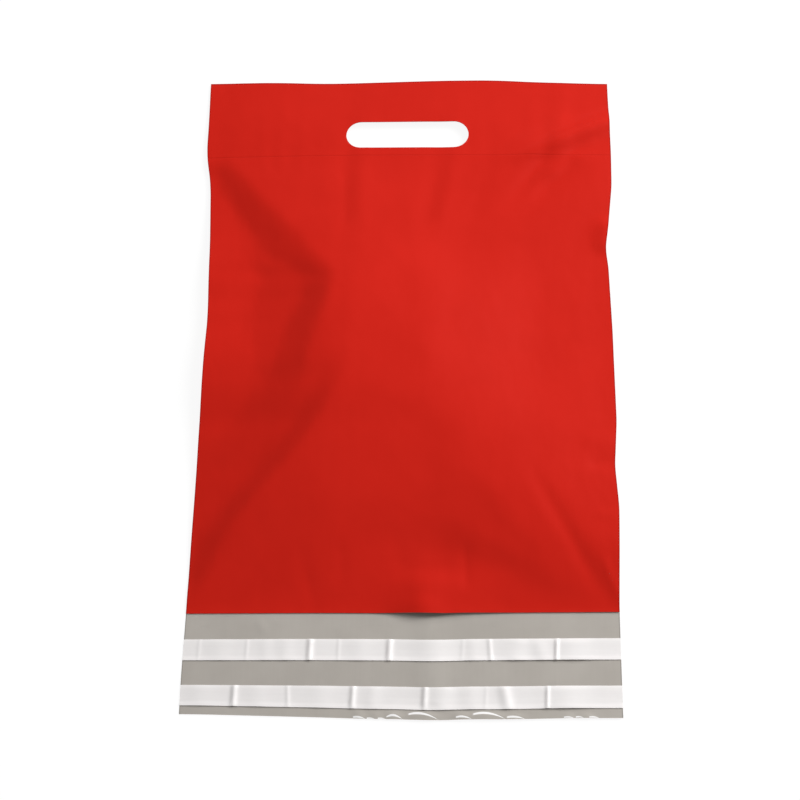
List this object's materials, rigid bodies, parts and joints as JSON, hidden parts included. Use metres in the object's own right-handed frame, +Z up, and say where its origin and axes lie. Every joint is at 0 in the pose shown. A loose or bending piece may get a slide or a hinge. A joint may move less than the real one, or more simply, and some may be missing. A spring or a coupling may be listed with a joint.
{
  "type": "poly mailer bag",
  "caption": "Flat film mailer with a die-cut carry slot, a puffed pouch open at one end, and a closing lip with lined adhesive bands to send and to return.",
  "frame": {"origin": "centre of the overall outline, on the table under the bag", "axes": "+X across the bag to the right, +Y from the lip's end to the folded handle end, +Z up from the table, out of the front panel"},
  "size_m": [0.32, 0.505, 0.0254],
  "materials": {
    "film": "satin",
    "adhesive": "gloss",
    "liner": "satin"
  },
  "bodies": {
    "root": {"film_bag": "film", "send_adhesive": "adhesive", "send_liner": "liner", "return_adhesive": "adhesive", "return_liner": "liner"}
  },
  "joints": []
}
